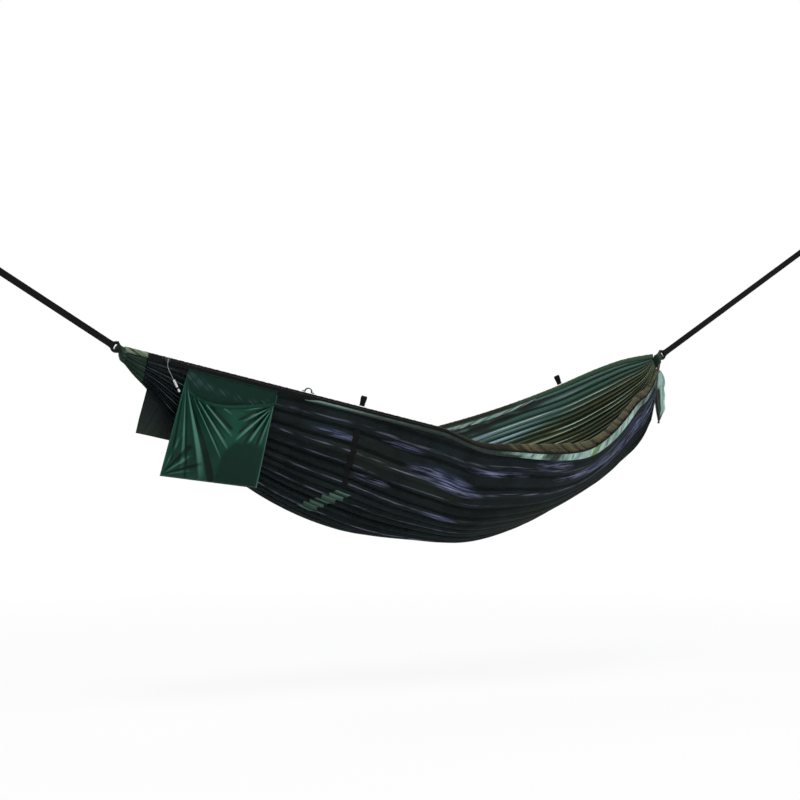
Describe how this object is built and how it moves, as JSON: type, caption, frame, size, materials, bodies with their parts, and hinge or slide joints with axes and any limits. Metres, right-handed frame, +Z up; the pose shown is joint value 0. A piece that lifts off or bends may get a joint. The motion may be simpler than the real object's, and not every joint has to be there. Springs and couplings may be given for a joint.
{
  "type": "camping hammock",
  "caption": "Gathered-end camping hammock hung by webbing, with its mosquito net turned under the bed and a storage pocket on one side.",
  "frame": {"origin": "the left hang point, where the left suspension strap pulls on its channel cord", "axes": "+X level towards the right hang point, -Y towards the side with the zip and the pocket, +Z up"},
  "size_m": [3.9833, 0.5964, 1.3],
  "materials": {
    "green_nylon": "thin satin ripstop nylon",
    "olive_hem": "rolled nylon hem",
    "black_mesh": "fine see-through mesh",
    "dark_green_nylon": "satin nylon",
    "black_tape": "matte woven tape",
    "pale_green_nylon": "thin satin nylon",
    "forest_green_nylon": "satin nylon",
    "black_webbing": "matte webbing",
    "black_coil": "nylon coil",
    "grey_metal": "satin",
    "grey_cord": "braided cord"
  },
  "bodies": {
    "hammock": {"bed_cloth": "green_nylon", "near_bed_hem": "olive_hem", "far_bed_hem": "olive_hem", "mosquito_net": "black_mesh", "left_end_panel": "dark_green_nylon", "right_end_panel": "dark_green_nylon", "near_zip_tape": "black_tape", "near_zip_coil": "black_coil", "zip_end_stop": "grey_metal", "near_net_border": "pale_green_nylon", "far_net_border": "black_tape", "net_tab_band": "black_tape", "pleat_patch": "dark_green_nylon", "left_gather": "dark_green_nylon", "right_gather": "dark_green_nylon", "left_channel_cord": "black_webbing", "right_channel_cord": "black_webbing", "near_arch_loop": "black_webbing"},
    "left_strap": {"left_suspension_strap": "black_webbing"},
    "right_strap": {"right_suspension_strap": "black_webbing"},
    "slider": {"zip_slider": "grey_metal", "slider_bail": "grey_metal"},
    "pull": {"pull_loop": "grey_cord", "pull_cord": "grey_cord", "pull_toggle": "grey_cord"},
    "near_tab_body": {"near_tab": "black_webbing"},
    "far_tab_body": {"far_tab": "black_webbing"},
    "pocket": {"pocket_back": "forest_green_nylon", "pocket_front": "forest_green_nylon", "pocket_mouth_hem": "forest_green_nylon", "pocket_top_hem": "forest_green_nylon", "pocket_corner_loop": "forest_green_nylon"},
    "left_flap": {"left_net_flap": "black_mesh"},
    "right_flap": {"right_end_flap": "pale_green_nylon"}
  },
  "joints": [
    {"name": "left_strap_swing", "type": "hinge", "parent": "hammock", "child": "left_strap", "pos_m": [0, 0, 0], "axis": [0, 1, 0], "range_deg": [-25, 30]},
    {"name": "right_strap_swing", "type": "hinge", "parent": "hammock", "child": "right_strap", "pos_m": [2.48, 0, 0], "axis": [0, -1, 0], "range_deg": [-25, 30]},
    {"name": "zip_slide", "type": "slide", "parent": "hammock", "child": "slider", "axis": [0.9512, -0.1991, -0.2358], "range_m": [0, 0.95]},
    {"name": "pull_swing", "type": "hinge", "parent": "slider", "child": "pull", "pos_m": [0.17462, -0.066, -0.04437], "axis": [-0.9512, 0.1991, 0.2358], "range_deg": [0, 150]},
    {"name": "near_tab_fold", "type": "hinge", "parent": "hammock", "child": "near_tab_body", "pos_m": [0.89965, -0.1984, -0.20978], "axis": [0.9512, -0.1991, -0.2358], "range_deg": [-80, 80]},
    {"name": "far_tab_fold", "type": "hinge", "parent": "hammock", "child": "far_tab_body", "pos_m": [2.09127, 0.19029, -0.12162], "axis": [0.8928, -0.2526, 0.3731], "range_deg": [-80, 80]},
    {"name": "pocket_lift", "type": "hinge", "parent": "hammock", "child": "pocket", "pos_m": [0.41484, -0.10458, -0.11785], "axis": [-0.9512, 0.1991, 0.2358], "range_deg": [0, 100]},
    {"name": "left_flap_swing", "type": "hinge", "parent": "hammock", "child": "left_flap", "pos_m": [0.13144, 0.0219, -0.15077], "axis": [0.7046, 0.1112, -0.7008], "range_deg": [-8, 45]},
    {"name": "right_flap_swing", "type": "hinge", "parent": "hammock", "child": "right_flap", "pos_m": [2.4512, 0, -0.05365], "axis": [0, -1, 0], "range_deg": [0, 25]}
  ]
}
